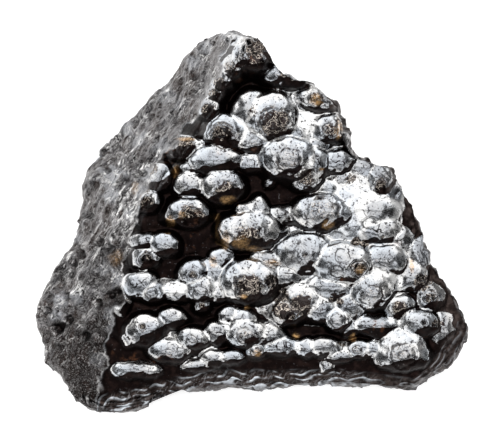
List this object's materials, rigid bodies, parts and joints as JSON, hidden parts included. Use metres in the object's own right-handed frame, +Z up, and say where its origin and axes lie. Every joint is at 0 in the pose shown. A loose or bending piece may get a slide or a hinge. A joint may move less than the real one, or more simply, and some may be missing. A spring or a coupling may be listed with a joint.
{
  "type": "hematite specimen",
  "caption": "Hand-sized wedge of botryoidal hematite: a sloping crust of glossy round knobs over rough broken sides, lying on its flat broken underside.",
  "frame": {"origin": "on the flat broken underside that the stone rests on, near its middle", "axes": "+Z up out of the resting face, -Y towards the low front edge of the knobbed face, +X to the right when looking along +Y"},
  "size_m": [0.0712, 0.0528, 0.0391],
  "materials": {
    "hematite": "satin"
  },
  "bodies": {
    "root": {"hematite_stone": "hematite"}
  },
  "joints": []
}
